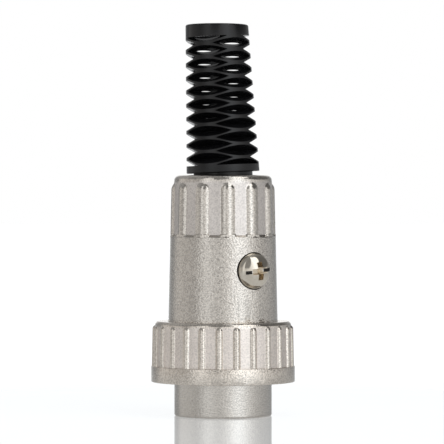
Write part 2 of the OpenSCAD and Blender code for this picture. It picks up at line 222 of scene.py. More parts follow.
def finish(material, colour, sheen, height, depth, strength=1.0):
    """Material with its colour, its roughness and a fine relief of a depth in millimetres."""
    relief = add_node(material, "Bump", Strength=strength, Distance=depth * MM, Height=height)
    shader = material.node_tree.nodes["Principled BSDF"]
    for key, output in (("Base Color", colour), ("Roughness", sheen),
                        ("Normal", relief.outputs["Normal"])):
        material.node_tree.links.new(output, shader.inputs[key])
    return material


def satin_nickel(name, grain, depth, roughness, tone, ground=None):
    """Satin nickel on a tumbled casting: fine pits, and a slow drift of tone and gloss.

    The ground is (radius, foot, top, draft): a recess that the tumbling left matt, painted lighter
    as painted light, between ribs that handling has smoothed.
    """
    material, place = new_material(name, 1.0)
    drift = noise(material, place, 420.0, 3.0)
    pits = noise(material, place, 1000.0 / grain, 1.0, 0.6)
    colour = two_tones(material, drift, 0.3, NICKEL_DARK, 0.7, NICKEL_LIGHT, tone)
    sheen = spread(material, pits, 0.3, 0.7, roughness - 0.03, roughness + 0.04)
    speck_low, speck_high, pitting = SPECK_DARK, SPECK_LIGHT, 1.0
    if ground:
        ground_r, foot, top, draft = ground
        height = add_node(material, "SeparateXYZ", place).outputs["Z"]
        across = vector_calc(material, "MULTIPLY", place, (1, 1, 0))
        radius = vector_calc(material, "LENGTH", across, result="Value")
        drafted = calc(material, "MULTIPLY_ADD", height, draft, radius)
        below_top = spread(material, height, (top + 0.1) * MM, (top - 0.3) * MM)
        ground_level = ground_r + draft * foot
        recess = spread(material, drafted, (ground_level + 0.06) * MM, (ground_level + 0.01) * MM,
                        0.0, below_top)
        speck_low = spread(material, recess, 0, 1, RIB_SPECK_DARK, SPECK_DARK)
        speck_high = spread(material, recess, 0, 1, RIB_SPECK_LIGHT, SPECK_LIGHT)
        pitting = spread(material, height, (foot - 0.1) * MM, (foot + 0.3) * MM, 1.0, RIB_PITTING)
        # Painted light: the ground between the ribs is painted lighter, and made matt.
        ground_painted_light = vector_calc(material, "MULTIPLY_ADD", recess, GROUND_PAINTED_LIGHT, (1, 1, 1))
        colour = vector_calc(material, "MULTIPLY", colour, ground_painted_light)
        sheen = calc(material, "MULTIPLY_ADD", recess, GROUND_MATT, sheen)
    speck = spread(material, pits, 0.34, 0.6, speck_low, speck_high)
    specked = vector_calc(material, "SCALE", colour, Scale=speck)
    return finish(material, specked, sheen, pits, depth, pitting)


skirt_nickel = satin_nickel("satin_nickel_skirt", 0.18, 0.032, 0.2, (1.0, 1.01, 1.025))
shell = to_object("front_shell_dressed", turn_outline(skirt_outline, skirt_rounding, 256))
key_bar = bar(KEY_WIDTH, KEY_DEPTH, -KEY_MIDDLE, KEY_FOOT, KEY_TOP, SCREW_TURN, KEY_EDGE)
stop_rib = bar(STOP_WIDTH, STOP_DEPTH, -STOP_MIDDLE, STOP_FOOT, STOP_TOP, SCREW_TURN)
carve(shell, [key_bar, stop_rib], "UNION")
settle(shell, skirt_nickel, "satin_nickel", "plug", "front_shell")


# Contact insert: the insulating disc that holds the pins, seated on a ledge inside the shell.
# Moulded in black glass-filled plastic, with a stepped hole for each pin and a slot for the rib.
INSERT_TOP = 13.0
INSERT_FIT = 0.05
PIN_ANGLES = [SCREW_TURN + radians(45 * step) for step in (-2, -1, 0, 1, 2)]
PIN_CIRCLE = 3.5
PIN_SHANK_R, PIN_COLLAR_R, PIN_COLLAR_FOOT = 0.925, 1.155, 12.4
PIN_FIT = 0.02
HOLE_R, HOLE_COLLAR_R, HOLE_CHAMFER = PIN_SHANK_R + PIN_FIT, PIN_COLLAR_R + PIN_FIT, 0.1
CUT_PAST = 0.5
RIB_SLOT_DEPTH = 1.2
disc_r, seat_r = SPIGOT_BORE_R - INSERT_FIT, LEDGE_R - INSERT_FIT
insert_outline = [(0, LEDGE_FOOT), (seat_r, LEDGE_FOOT), (seat_r, LEDGE_TOP), (disc_r, LEDGE_TOP),
                  (disc_r, INSERT_TOP), (0, INSERT_TOP)]
insert_rounding = [0, 0.15, 0, 0.1, 0.1, 0]
hole_outline = [
    (0, LEDGE_FOOT - CUT_PAST), (HOLE_R + HOLE_CHAMFER, LEDGE_FOOT - CUT_PAST),
    (HOLE_R + HOLE_CHAMFER, LEDGE_FOOT), (HOLE_R, LEDGE_FOOT + HOLE_CHAMFER),
    (HOLE_R, PIN_COLLAR_FOOT), (HOLE_COLLAR_R, PIN_COLLAR_FOOT),
    (HOLE_COLLAR_R, INSERT_TOP + CUT_PAST), (0, INSERT_TOP + CUT_PAST),
]


def at_pin(bm, angle):
    """Moves a mesh from the plug's axis to a pin's place opposite the key."""
    bmesh.ops.translate(bm, vec=(0, PIN_CIRCLE * MM, 0), verts=bm.verts[:])
    bmesh.ops.rotate(bm, cent=(0, 0, 0), matrix=Matrix.Rotation(angle, 3, "Z"), verts=bm.verts[:])
    return bm


def moulded_plastic(name, dark, light, roughness, grain, depth):
    """Moulded plastic: a fine spark-eroded texture and slightly uneven gloss."""
    material, place = new_material(name, 0.0)
    cloud = noise(material, place, 300.0, 4.0)
    skin = noise(material, place, 1000.0 / grain, 2.0)
    colour = two_tones(material, cloud, 0.3, dark, 0.75, light)
    sheen = spread(material, cloud, 0, 1, roughness - 0.08, roughness + 0.08)
    return finish(material, colour, sheen, skin, depth)


insert_plastic = moulded_plastic("insert_plastic_black", (0.022, 0.022, 0.024),
                                 (0.034, 0.034, 0.037), 0.5, 0.12, 0.006)
insert = to_object("contact_insert_dressed", turn_outline(insert_outline, insert_rounding, 128))
pin_holes = [at_pin(turn_outline(hole_outline, [0] * len(hole_outline), 40), angle)
             for angle in PIN_ANGLES]
rib_slot = bar(STOP_WIDTH + 2 * INSERT_FIT, RIB_SLOT_DEPTH, -(seat_r + RIB_SLOT_DEPTH / 2),
               LEDGE_TOP, INSERT_TOP + 2 * CUT_PAST, SCREW_TURN)
carve(insert, pin_holes + [rib_slot])
settle(insert, insert_plastic, "insert_plastic", "plug", "contact_insert")


# Contact pins: five turned brass pins, silver plated, pushed into the insert from behind.
# Each has a round nose, a thicker shank and collar in the insert, and an open solder cup.
PIN_R, PIN_NOSE = 0.725, 0.9
CUP_R, CUP_BORE_R, CUP_FLOOR, CUP_TOP, DRILL_POINT = 0.9, 0.625, 14.2, 16.6, 0.2
WINDOW_WIDTH, WINDOW_DEPTH, WINDOW_MIDDLE, WINDOW_HALF = 2.6, 1.8, PIN_CIRCLE + 1.2, 1.5
pin_outline = [
    (0, PIN_NOSE), (PIN_R, PIN_NOSE), (PIN_R, LEDGE_FOOT), (PIN_SHANK_R, LEDGE_FOOT),
    (PIN_SHANK_R, PIN_COLLAR_FOOT), (PIN_COLLAR_R, PIN_COLLAR_FOOT), (PIN_COLLAR_R, INSERT_TOP),
    (CUP_R, INSERT_TOP), (CUP_R, CUP_TOP), (CUP_BORE_R, CUP_TOP), (CUP_BORE_R, CUP_FLOOR),
    (0, CUP_FLOOR - DRILL_POINT),
]
pin_rounding = [0, 0.5, 0, 0.05, 0, 0.06, 0.06, 0, 0.06, 0.06, 0, 0]


def silver_plate(name):
    """Silver plate on turned brass: faint rings from the lathe and a slight yellow tarnish."""
    material, place = new_material(name, 1.0)
    stretched = add_node(material, "Mapping", Vector=place, Scale=(300, 300, 14000))
    rings = noise(material, stretched.outputs["Vector"], 1.0, 2.0)
    tarnish = noise(material, place, 700.0, 4.0)
    colour = two_tones(material, tarnish, 0.35, (0.80, 0.765, 0.69), 0.65, (0.88, 0.865, 0.83))
    sheen = spread(material, rings, 0, 1, 0.14, 0.3)
    return finish(material, colour, sheen, rings, 0.003)


contact_silver = silver_plate("contact_silver_turned")
for number, angle in enumerate(PIN_ANGLES, 1):
    pin = to_object(f"contact_pin_{number}_dressed",
                    at_pin(turn_outline(pin_outline, pin_rounding, 40), angle))
    cup_window = bar(WINDOW_WIDTH, WINDOW_DEPTH, WINDOW_MIDDLE, CUP_TOP - WINDOW_HALF,
                     CUP_TOP + WINDOW_HALF, angle)
    carve(pin, [cup_window])
    settle(pin, contact_silver, "contact_silver", "plug", f"contact_pin_{number}")


# Cable clamp: the cast chassis behind the insert, its bent strap and two small slotted screws.
# Nickel-plated zinc and bright steel, closed in by the sleeve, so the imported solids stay.
STEEL_DARK, STEEL_LIGHT = (0.70, 0.665, 0.60), (0.80, 0.775, 0.73)


def bright_steel(name, roughness, tone=(1, 1, 1)):
    """Bright nickel-plated steel: smooth, with faint scuffs and slightly uneven plating."""
    material, place = new_material(name, 1.0)
    scuffs = noise(material, place, 2600.0, 5.0, 0.65)
    colour = two_tones(material, scuffs, 0.3, STEEL_DARK, 0.65, STEEL_LIGHT, tone)
    sheen = spread(material, scuffs, 0, 1, roughness - 0.04, roughness + 0.06)
    return finish(material, colour, sheen, scuffs, 0.002)


strap_steel = bright_steel("bright_steel_strap", 0.2)
for node, plating in (("clamp_chassis", skirt_nickel), ("cable_clamp", strap_steel),
                      ("clamp_screw_left", strap_steel), ("clamp_screw_right", strap_steel)):
    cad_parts[node].data.materials.clear()
    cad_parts[node].data.materials.append(plating)


# Coupling ring: turns freely on the shell's neck and screws onto the socket.
# A zinc casting with 25 half-round grip ribs above a plain band; the fine thread is cut inside.
BAND_R = 9.75
RING_MOUTH, RING_FOOT, RING_SHOULDER, RING_TOP = 4.6, 6.75, 12.46, 12.8
RING_MOUTH_R, RING_SHOULDER_R = 7.96, 8.94
RING_GROUND_R, RING_CREST_R, RING_DRAFT = 9.34, 9.65, tan(radians(1.08))
RING_INSIDE_R = 9.0
SLEEVE_SEAT_R, SLEEVE_SEAT = 7.514, 12.6
LIP_R, LIP_FOOT = 6.894, 10.9
FLANGE_ROOM_R, FLANGE_ROOM_FOOT = 8.05, 9.5
RIB_COUNT = 25
RIB_TURN = radians(-3.15)
ROD_R = 0.5
RIB_TOP = 12.25
RIB_FILLET = 0.08
RIB_OFFSET_R = 9.3
THREAD_PITCH = 0.75
THREAD_MINOR = 7.594
THREAD_DEPTH = 0.42
THREAD_FROM, THREAD_TO, THREAD_STEPS = 5.0, 9.46, 40
THREAD_LEAD_IN, THREAD_RUNOUT = 0.4, 0.3
TINY = 0.001


def ring_ground(z):
    """Radius of the drafted ground between the ring's ribs."""
    return RING_GROUND_R - (z - RING_FOOT) * RING_DRAFT


def rod_reach(aside, z, axis_r, rod_r, top):
    """Distance from the plug's axis to an upright rod with a ball end, at an angle aside of it."""
    over = max(0, z - (top - rod_r))
    section = sqrt(max(0, rod_r * rod_r - over * over))
    offset = axis_r * abs(sin(aside))
    if offset < section:
        return axis_r * cos(aside) + sqrt(section * section - offset * offset)
    return axis_r * cos(aside) - 2 * (offset - section) - 2 * max(0, over - rod_r)


def blend_out(a, b, fillet):
    """The larger of two radii, with a fillet where they cross."""
    return (a + b + sqrt((a - b) ** 2 + fillet * fillet)) / 2


def rib_columns(count, offsets, radius):
    """Angles of a ring's columns from one rib's middle, crowded where the ribs curve and end."""
    half = [offset / radius for offset in offsets] + [pi / count]
    return [-angle for angle in half[:0:-1]] + half[:-1]


def rib_place(v, count, columns, turn):
    """A turned mesh's point as radius, height, angle aside of its rib and angle from the front."""
    step = round(atan2(v.co.y, v.co.x) / (2 * pi) * count * len(columns))
    rib, column = divmod(step, len(columns))
    aside = columns[column]
    return v.co.xy.length / MM, v.co.z / MM, aside, aside + rib * 2 * pi / count + turn


def move_to(v, r, angle):
    """Puts a point at a radius and an angle from the front, at the height that it has."""
    v.co.x, v.co.y = r * MM * sin(angle), -r * MM * cos(angle)


ring_rows = [RING_FOOT, 6.79, 6.9, 7.2, 8.0, 9.2, 10.4, 11.2, 11.5, 11.62, 11.7, 11.77, 11.83,
             11.89, 11.94, 11.99, 12.04, 12.09, 12.13, 12.17, 12.21, RIB_TOP, RING_SHOULDER]
thread_rows = [THREAD_TO - i * (THREAD_TO - THREAD_FROM) / THREAD_STEPS
               for i in range(THREAD_STEPS + 1)]
ring_outline = (
    [(BAND_R, RING_MOUTH), (BAND_R, RING_FOOT)]
    + [(ring_ground(z), z) for z in ring_rows]
    + [(RING_SHOULDER_R, RING_TOP), (SLEEVE_SEAT_R, RING_TOP), (SLEEVE_SEAT_R, SLEEVE_SEAT),
       (LIP_R, SLEEVE_SEAT), (LIP_R, LIP_FOOT), (FLANGE_ROOM_R, LIP_FOOT),
       (FLANGE_ROOM_R, FLANGE_ROOM_FOOT)]
    + [(THREAD_MINOR, z) for z in thread_rows]
    + [(RING_MOUTH_R, RING_MOUTH)]
)
ring_rounding = ([0.1, 0.07, 0.03] + [0] * (len(ring_rows) - 2) + [0.13]
                 + [0.08, 0.05, 0.02, 0.1, 0.1, 0.1, 0.02] + [0] * THREAD_STEPS + [0.05, 0.08])
ring_offsets = [0, 0.08, 0.16, 0.23, 0.29, 0.34, 0.38, 0.41, 0.44, 0.47, 0.5, 0.54, 0.59, 0.66,
                0.76, 0.92]
ring_columns = rib_columns(RIB_COUNT, ring_offsets, RIB_OFFSET_R)
ring_mesh = turn_outline(ring_outline, ring_rounding, RIB_COUNT * len(ring_columns), 3, RIB_COUNT)
for v in ring_mesh.verts:
    r, z, aside, angle = rib_place(v, RIB_COUNT, ring_columns, RIB_TURN)
    on_grip = RING_FOOT - TINY < z < RING_SHOULDER - 0.05
    if on_grip and RING_INSIDE_R < r < BAND_R - 0.2:
        axis_r = RING_CREST_R - (z - RING_FOOT) * RING_DRAFT - ROD_R
        r = blend_out(r, rod_reach(aside, z, axis_r, ROD_R, RIB_TOP), RIB_FILLET)
    elif abs(r - THREAD_MINOR) < TINY and z > THREAD_FROM - TINY:
        runout = min(1, (z - THREAD_FROM) / THREAD_LEAD_IN, (THREAD_TO - z) / THREAD_RUNOUT)
        wave = (z / THREAD_PITCH - angle / (2 * pi)) % 1
        flank = min(1, max(0, 1.25 * abs(2 * wave - 1) - 0.125))
        r += THREAD_DEPTH * max(0, runout) * flank
    move_to(v, r, angle)
ring = to_object("coupling_ring_dressed", ring_mesh, 35)
ring_nickel = satin_nickel("satin_nickel_ring", 0.22, 0.043, 0.065, (1.09, 1.07, 1.055),
                           (RING_GROUND_R, RING_FOOT, RIB_TOP, RING_DRAFT))
settle(ring, ring_nickel, "satin_nickel", "ring", "coupling_ring")


# Rear sleeve: slides over the chassis and is held by one screw; the hand grips its ribbed end.
# A drafted zinc casting, tumbled and plated like the ring, with twelve broad half-round ribs.
SLEEVE_FOOT, SLEEVE_TOP = NECK_TOP, 32.52
SLEEVE_FOOT_R, SLEEVE_DRAFT = 7.414, tan(radians(1.25))
SLEEVE_BORE_R, GRIP_BORE_R, BORE_STEP = 6.254, 5.704, 23.0
BOOT_HOLE_R, END_WALL, END_ROUND, END_FACE = 4.25, 31.22, 0.7, 0.01
GRIP_FOOT = 24.1
SLEEVE_RIBS = 12
SLEEVE_RIB_TURN = radians(5.5)
SLEEVE_ROD_R = 1.15
SLEEVE_RIB_TOP = 31.69
SLEEVE_FILLET = 0.12
SLEEVE_OFFSET_R = 6.8
RIB_SINK = 0.01
GROUND_DEPTH = 0.38
POCKET_SIDE, POCKET_CORNER, CORNER_BLEND = 0.97, 0.5, 0.3
LEDGE_RAMP, LEDGE_STEPS = 0.45, 12
SCREW_Z = 19.7
SCREW_PLACE = (Matrix.Translation((0, 0, SCREW_Z * MM)) @ Matrix.Rotation(SCREW_TURN, 4, "Z")
               @ Matrix.Rotation(pi / 2, 4, "X"))
SEAT, SEAT_R = 6.86, 2.25
SCREW_HOLE_R, SCREW_HOLE_FLOOR, SHANK_HOLE_R = 2.53, 6.6, 1.4
SHANK_HOLE_FROM, SCREW_HOLE_TO = 4.0, 9.0


def sleeve_plain(z):
    """Radius of the sleeve's plain drafted surface."""
    return SLEEVE_FOOT_R - (z - SLEEVE_FOOT) * SLEEVE_DRAFT


def ease(t):
    """Share from 0 to 1 that starts and ends gently."""
    return t * t * (3 - 2 * t)


def sleeve_relief(aside, r, z):
    """Radius of the grip: ground, ribs, and the rounded corners of each pocket at the ledge."""
    crest = sleeve_plain(z) - RIB_SINK
    rod = rod_reach(aside, z, crest - SLEEVE_ROD_R, SLEEVE_ROD_R, SLEEVE_RIB_TOP)
    out = blend_out(r, rod, SLEEVE_FILLET)
    from_ledge = z - GRIP_FOOT
    from_rib = abs(aside) * r - POCKET_SIDE
    if from_ledge < POCKET_CORNER and from_rib < POCKET_CORNER:
        near = Vector((max(0, POCKET_CORNER - from_ledge), max(0, POCKET_CORNER - from_rib)))
        wall = (near.length - POCKET_CORNER + CORNER_BLEND / 2) / CORNER_BLEND
        out = max(out, r + (crest - r) * ease(min(1, max(0, wall))))
    return out


grip_rows = [24.62, 24.72, 24.83, 25.0, 25.3, 25.6, 26.5, 28.0, 29.5, 30.4, 30.6, 30.75, 30.9,
             31.03, 31.13, 31.22, 31.3, 31.38, 31.45, 31.52, 31.6, 31.7, 31.78]
ledge_shares = [(i + 1) / LEDGE_STEPS for i in range(LEDGE_STEPS)]
ledge_slope = [(sleeve_plain(GRIP_FOOT + LEDGE_RAMP * t) - GROUND_DEPTH * ease(t),
                GRIP_FOOT + LEDGE_RAMP * t) for t in ledge_shares]
end_centre_z = SLEEVE_TOP - END_ROUND
end_centre_r = sleeve_plain(end_centre_z) - GROUND_DEPTH - END_ROUND
end_arc = [(end_centre_r + END_ROUND * cos(radians(a)), end_centre_z + END_ROUND * sin(radians(a)))
           for a in range(0, 91, 5)]
sleeve_outline = (
    [(SLEEVE_FOOT_R, SLEEVE_FOOT), (sleeve_plain(GRIP_FOOT), GRIP_FOOT)]
    + ledge_slope
    + [(sleeve_plain(z) - GROUND_DEPTH, z) for z in grip_rows]
    + end_arc
    + [(BOOT_HOLE_R, SLEEVE_TOP), (BOOT_HOLE_R, END_WALL), (GRIP_BORE_R, END_WALL),
       (GRIP_BORE_R, BORE_STEP + SLEEVE_BORE_R - GRIP_BORE_R), (SLEEVE_BORE_R, BORE_STEP),
       (SLEEVE_BORE_R, SLEEVE_FOOT)]
)
sleeve_rounding = ([0.06, 0.02] + [0] * (len(ledge_slope) + len(grip_rows) + len(end_arc))
                   + [0.15, 0.1, 0.1, 0, 0, 0.15])
sleeve_offsets = [0, 0.16, 0.31, 0.45, 0.57, 0.67, 0.75, 0.82, 0.88, 0.94, 1.0, 1.06, 1.13, 1.2,
                  1.27, 1.34, 1.42, 1.51, 1.63]
sleeve_columns = rib_columns(SLEEVE_RIBS, sleeve_offsets, SLEEVE_OFFSET_R)
sleeve_mesh = turn_outline(sleeve_outline, sleeve_rounding, SLEEVE_RIBS * len(sleeve_columns), 3,
                           SLEEVE_RIBS)
for v in sleeve_mesh.verts:
    r, z, aside, angle = rib_place(v, SLEEVE_RIBS, sleeve_columns, SLEEVE_RIB_TURN)
    on_grip = GRIP_FOOT - TINY < z < SLEEVE_TOP - END_FACE
    if on_grip and end_centre_r < r < sleeve_plain(z) - RIB_SINK / 2:
        r = sleeve_relief(aside, r, z)
    move_to(v, r, angle)


def at_screw(bm):
    """Moves a mesh from the Z axis to the sleeve screw's axis, pointing outwards."""
    bmesh.ops.transform(bm, matrix=SCREW_PLACE, verts=bm.verts[:])
    return bm


sleeve = to_object("rear_sleeve_dressed", sleeve_mesh, 35)
screw_hole_outline = [
    (0, SHANK_HOLE_FROM), (SHANK_HOLE_R, SHANK_HOLE_FROM), (SHANK_HOLE_R, SEAT), (SEAT_R, SEAT),
    (SEAT_R, SCREW_HOLE_FLOOR), (SCREW_HOLE_R, SCREW_HOLE_FLOOR), (SCREW_HOLE_R, SCREW_HOLE_TO),
    (0, SCREW_HOLE_TO),
]
screw_hole = at_screw(turn_outline(screw_hole_outline, [0] * len(screw_hole_outline), 96))
carve(sleeve, [screw_hole], sharp=35)
sleeve_nickel = satin_nickel("satin_nickel_sleeve", 0.23, 0.056, 0.07, (0.985, 0.985, 0.99),
                             (sleeve_plain(GRIP_FOOT) - GROUND_DEPTH, GRIP_FOOT, SLEEVE_RIB_TOP,
                              SLEEVE_DRAFT))
settle(sleeve, sleeve_nickel, "satin_nickel", "plug", "rear_sleeve")
# Painted shade: the faces sunk in the screw hole get a dark copy of the nickel.
hole_painted_shade_nickel = satin_nickel("satin_nickel_hole_painted_shade", 0.2, 0.02, 0.4, (0.26, 0.25, 0.24))
sleeve.data.materials.append(hole_painted_shade_nickel)
for face in sleeve.data.polygons:
    place = SCREW_PLACE.inverted() @ face.center / MM
    sunk = sleeve_plain(face.center.z / MM) - face.center.xy.length / MM > 0.06
    in_hole = place.z > SCREW_HOLE_FLOOR - 0.3 and place.xy.length < SCREW_HOLE_R + 0.01
    face.material_index = 1 if sunk and in_hole else 0


# Sleeve screw: a bright pan-head machine screw through the sleeve into the chassis.
# Cold-headed steel, nickel plated, with a slot right across and a cross recess in the middle.
SHANK_R, SHANK_END = 1.25, 2.8
HEAD_R, HEAD_SIDE, HEAD_H = 2.43, 0.75, 2.1
CROWN_R, CROWN_H, CROWN_SLOPE = 1.5, 1.75, 0.23
DRIVE_WIDTH, DRIVE_LENGTH, DRIVE_FLOOR = 0.45, 6.0, SEAT + 1.22
CROSS_WIDTH, CROSS_LENGTH, CROSS_FLOOR = 0.8, 3.2, SEAT + 0.6
RECESS_TOP = SEAT + 2.3
DRIVE_TURN = 7
head_outline = [
    (0, SHANK_END), (SHANK_R, SHANK_END), (SHANK_R, SEAT), (HEAD_R, SEAT),
    (HEAD_R, SEAT + HEAD_SIDE), (CROWN_R, SEAT + CROWN_H), (0, SEAT + HEAD_H),
]
head_rounding = [0, 0.3, 0, 0.3, 0.45, 0.9, 0]
screw = to_object("sleeve_screw_dressed",
                  at_screw(turn_outline(head_outline, head_rounding, 96, 8)))


def recess_bar(length, width, floor, foot, turn):
    """Bar of the driver's recess, tapered to its floor and turned as the screw stopped."""
    bm = bar(length, width, 0, floor, RECESS_TOP)
    for v in bm.verts:
        if v.co.z < (floor + 0.1) * MM:
            v.co.x *= foot / length
    bmesh.ops.rotate(bm, cent=(0, 0, 0), matrix=Matrix.Rotation(radians(turn), 3, "Z"),
                     verts=bm.verts[:])
    return at_screw(bm)


slot = recess_bar(DRIVE_LENGTH, DRIVE_WIDTH, DRIVE_FLOOR, DRIVE_LENGTH, DRIVE_TURN)
cross = [recess_bar(CROSS_LENGTH, CROSS_WIDTH, CROSS_FLOOR, CROSS_WIDTH, turn)
         for turn in (DRIVE_TURN, DRIVE_TURN + 90)]
carve(screw, [slot] + cross, sharp=30)
soften = screw.modifiers.new("worn_edges", "BEVEL")
soften.width = 0.05 * MM
soften.segments = 2
soften.limit_method = "ANGLE"
soften.angle_limit = radians(40)


def painted_shade_slot_steel(name):
    """Bright steel on the slot's floor, with painted shade that darkens it towards its ends."""
    material = bright_steel(name, 0.1)
    base_colour = material.node_tree.nodes["Principled BSDF"].inputs["Base Color"]
    plating = base_colour.links[0].from_socket
    place = add_node(material, "TexCoord").outputs["Object"]
    from_middle = vector_calc(material, "SUBTRACT", place, SCREW_PLACE.translation)
    screw_axis = SCREW_PLACE.to_3x3() @ Vector((0, 0, 1))
    across = vector_calc(material, "CROSS_PRODUCT", from_middle, screw_axis)
    aside = vector_calc(material, "LENGTH", across, result="Value")
    # Painted shade: the slot's floor is darkened towards its ends.
    unshaded = spread(material, aside, 0.88 * MM, 1.0 * MM, 1.0, 0.04)
    shaded_ends = vector_calc(material, "SCALE", plating, Scale=unshaded)
    material.node_tree.links.new(shaded_ends, base_colour)
    return material


screw_steel = bright_steel("bright_steel_screw", 0.07, (0.95, 0.92, 0.86))
settle(screw, screw_steel, "bright_steel", "plug", "sleeve_screw")
# Painted shade: the driver's recess gets a darker, warmer copy of the steel.
screw.data.materials.append(bright_steel("bright_steel_recess_painted_shade", 0.2, (0.86, 0.78, 0.67)))
screw.data.materials.append(painted_shade_slot_steel("bright_steel_slot_painted_shade"))
for face in screw.data.polygons:
    place = SCREW_PLACE.inverted() @ face.center / MM
    aside = place.xy.length
    crown = (CROWN_R - aside) * (CROWN_SLOPE if aside < CROWN_R else 1)
    in_recess = SEAT + 0.3 < place.z < SEAT + CROWN_H + crown - 0.2
    if aside < HEAD_R - 0.2 and in_recess:
        face.material_index = 2 if abs(place.z - DRIVE_FLOOR) < 0.03 else 1


# Bend-relief boot: buttoned into the sleeve's end, it keeps the cable from kinking.
# One moulding of satin black plastic; three V slots a level, turned level by level, let it bend.
BOOT_BASE_R, BOOT_TIP_R, BOOT_LEN = 4.95, 4.25, 20.0
BOOT_BORE_BASE_R, BOOT_BORE_TIP_R = 3.48, 3.68
BUTTON_R, BUTTON_FOOT, BUTTON_TOP, WAIST_R = 4.9, -2.987, -1.987, 4.0
BOOT_SEAT = 32.907
BOOT_LEAN = radians(2.4)
BASE_COLLAR, SLOT_END = 1.0, 18.35
SLOT_LEVELS, FIRST_SLOT, SLOT_PITCH = 20, 1.06, 0.9075
SLOT_ROOT, SLOT_PAST, SLOT_HALF_ANGLE, SLOT_HALF_LENGTH = 0.7235, 0.12, radians(28), 5.0
SLOT_TURN, LEVEL_TURN, SLOTS_ROUND = -56, 60, 3
boot_outline = [
    (BOOT_BORE_BASE_R, BUTTON_FOOT), (BUTTON_R, BUTTON_FOOT), (BUTTON_R, BUTTON_TOP),
    (WAIST_R, BUTTON_TOP), (WAIST_R, 0), (BOOT_BASE_R, 0), (BOOT_TIP_R, BOOT_LEN),
    (BOOT_BORE_TIP_R, BOOT_LEN),
]
boot_rounding = [0.1, 0.2, 0.15, 0.05, 0.05, 0.12, 0.25, 0.15]


def slot_levels(first):
    """Every second level of V slots, as closed wedges that reach past the boot's surface."""
    bm = bmesh.new()
    for level in range(first, SLOT_LEVELS, 2):
        t = FIRST_SLOT + level * SLOT_PITCH
        surface = BOOT_BASE_R + (BOOT_TIP_R - BOOT_BASE_R) * t / BOOT_LEN
        root = SLOT_ROOT * surface
        reach = surface + SLOT_PAST
        rise = (reach - root) * tan(SLOT_HALF_ANGLE)
        for i in range(SLOTS_ROUND):
            corners = [bm.verts.new((x * MM, -SLOT_HALF_LENGTH * MM, z * MM))
                       for x, z in ((root, t), (reach, t + rise), (reach, t - rise))]
            section = bm.faces.new(corners)
            grown = bmesh.ops.extrude_face_region(bm, geom=[section])["geom"]
            far = [v for v in grown if isinstance(v, bmesh.types.BMVert)]
            bmesh.ops.translate(bm, vec=(0, 2 * SLOT_HALF_LENGTH * MM, 0), verts=far)
            turn = radians(SLOT_TURN + LEVEL_TURN * (level % 2) + 360 / SLOTS_ROUND * i)
            bmesh.ops.rotate(bm, cent=(0, 0, 0), matrix=Matrix.Rotation(turn, 3, "Z"),
                             verts=corners + far)
    for height, side in ((BASE_COLLAR, 1), (SLOT_END, -1)):
        bmesh.ops.bisect_plane(bm, geom=bm.verts[:] + bm.edges[:] + bm.faces[:],
                               plane_co=(0, 0, height * MM), plane_no=(0, 0, side),
                               clear_inner=True)
        bmesh.ops.holes_fill(bm, edges=[e for e in bm.edges if e.is_boundary])
    bmesh.ops.recalc_face_normals(bm, faces=bm.faces[:])
    return bm


boot_mesh = turn_outline(boot_outline, boot_rounding, 160)
for v in boot_mesh.verts:
    if v.co.z > SLOT_END * MM:
        share = min(1, (v.co.z / MM - SLOT_END) / (BOOT_LEN - SLOT_END - 0.2))
        v.co.z -= v.co.x * tan(BOOT_LEAN) * share
boot = to_object("bend_relief_boot_dressed", boot_mesh)
carve(boot, [slot_levels(0), slot_levels(1)], sharp=25)
lean = Matrix.Translation((0, 0, BOOT_SEAT * MM)) @ Matrix.Rotation(-BOOT_LEAN, 4, "Y")
boot.data.transform(lean)
boot_plastic = moulded_plastic("boot_plastic_black", (0.004, 0.004, 0.0044),
                               (0.009, 0.009, 0.0102), 0.21, 0.15, 0.006)
boot_plastic.node_tree.nodes["Principled BSDF"].inputs["Specular IOR Level"].default_value = 0.42
settle(boot, boot_plastic, "boot_plastic", "plug", "bend_relief_boot")


# Table: a sheet of glossy white acrylic that mirrors the plug's foot at a low angle.
# Away from the foot it is seen plain white, as the background is.
TABLE_HALF = 3000
MIRROR_NEAR, MIRROR_FAR = 50, 110
table_mesh = bmesh.new()
bmesh.ops.create_grid(table_mesh, x_segments=1, y_segments=1, size=TABLE_HALF * MM)
table = to_object("white_table", table_mesh)
acrylic = bpy.data.materials.new("white_acrylic")
acrylic.use_nodes = True
acrylic.node_tree.nodes.clear()
ray = add_node(acrylic, "LightPath").outputs
in_gloss = calc(acrylic, "MULTIPLY", ray["Is Glossy Ray"], 0.24)
seen = calc(acrylic, "MULTIPLY_ADD", ray["Is Camera Ray"], 0.72, in_gloss)
own_white = add_node(acrylic, "Emission", Color=(1, 1, 1, 1), Strength=seen)
body_white = add_node(acrylic, "BsdfDiffuse", Color=(0.7, 0.7, 0.7, 1))
base = add_node(acrylic, "AddShader", body_white.outputs["BSDF"], own_white.outputs["Emission"])
polish = add_node(acrylic, "BsdfGlossy", Color=(0.96, 0.984, 1, 1), Roughness=0.03)
graze = add_node(acrylic, "LayerWeight", Blend=0.5).outputs["Facing"]
mirrored = calc(acrylic, "MINIMUM", calc(acrylic, "POWER", graze, 4.2), 0.82)
spot = add_node(acrylic, "TexCoord").outputs["Object"]
from_foot = vector_calc(acrylic, "LENGTH", spot, result="Value")
away = spread(acrylic, from_foot, MIRROR_NEAR * MM, MIRROR_FAR * MM, shape="SMOOTHSTEP")
plain_white = calc(acrylic, "MULTIPLY", away, ray["Is Camera Ray"])
near = calc(acrylic, "SUBTRACT", 1.0, plain_white)
mirrored_near = calc(acrylic, "MULTIPLY", mirrored, near)
surface = add_node(acrylic, "MixShader", mirrored_near, base.outputs["Shader"],
                   polish.outputs["BSDF"])
add_node(acrylic, "OutputMaterial", Surface=surface.outputs["Shader"])
table.data.materials.append(acrylic)


